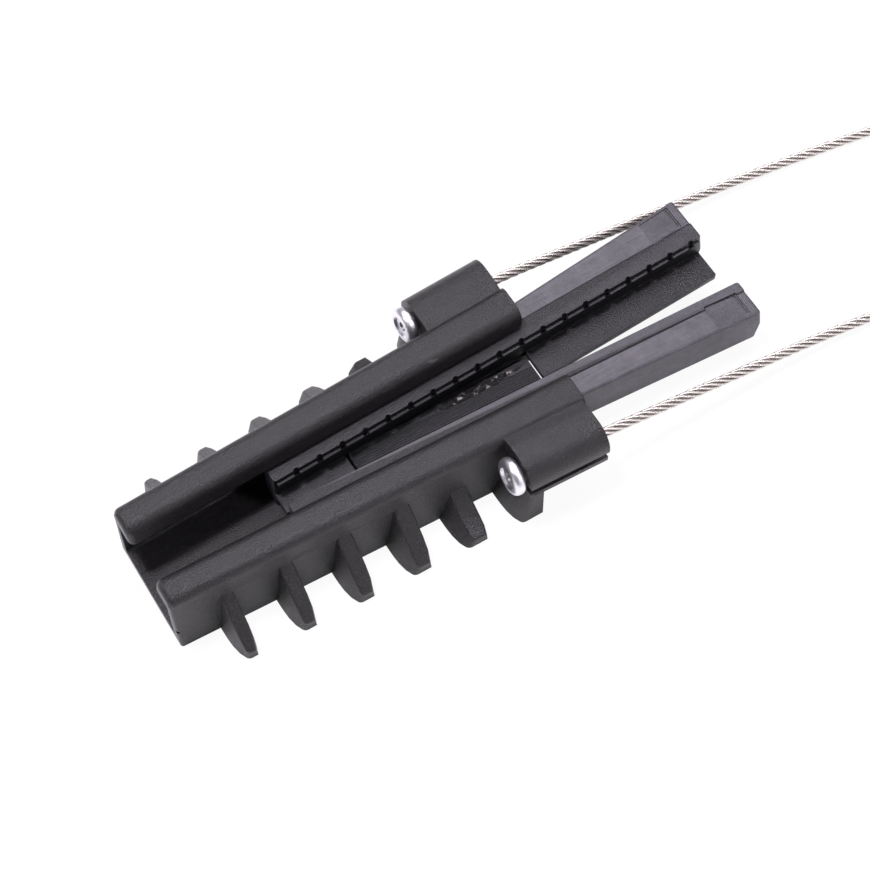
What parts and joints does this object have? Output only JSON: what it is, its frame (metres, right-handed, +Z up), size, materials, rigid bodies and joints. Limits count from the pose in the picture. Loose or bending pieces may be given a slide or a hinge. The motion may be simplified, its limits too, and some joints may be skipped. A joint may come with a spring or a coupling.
{
  "type": "cable anchoring clamp",
  "caption": "Wedge anchoring clamp for overhead cable: finned plastic tray with overhanging rails, sliding toothed jaws and a steel rope bail with pressed stops.",
  "frame": {"origin": "middle of the tray's underside", "axes": "+X along the tray towards the bail, +Z up from the tray's underside towards the rails"},
  "size_m": [0.4967, 0.1257, 0.0435],
  "materials": {
    "tray_plastic": "fine moulded texture",
    "jaw_plastic": "smooth moulded, lightly scuffed",
    "rope_steel": "bright stranded wire",
    "stop_aluminium": "turned, bright"
  },
  "bodies": {
    "clamp": {"clamp_body": "tray_plastic", "bail_rope": "rope_steel", "stop_left": "stop_aluminium", "stop_right": "stop_aluminium"},
    "left_jaw": {"wedge_left": "jaw_plastic"},
    "right_jaw": {"wedge_right": "jaw_plastic"}
  },
  "joints": [
    {"name": "left_jaw_slide", "type": "slide", "parent": "clamp", "child": "left_jaw", "axis": [-0.9959, -0.0906, 0], "range_m": [-0.015, 0.06]},
    {"name": "right_jaw_slide", "type": "slide", "parent": "clamp", "child": "right_jaw", "axis": [-0.9992, 0.04, 0], "range_m": [-0.015, 0.06]}
  ],
  "couplings": [
    {"joint": "right_jaw_slide", "follows": "left_jaw_slide", "ratio": 0.9967}
  ]
}
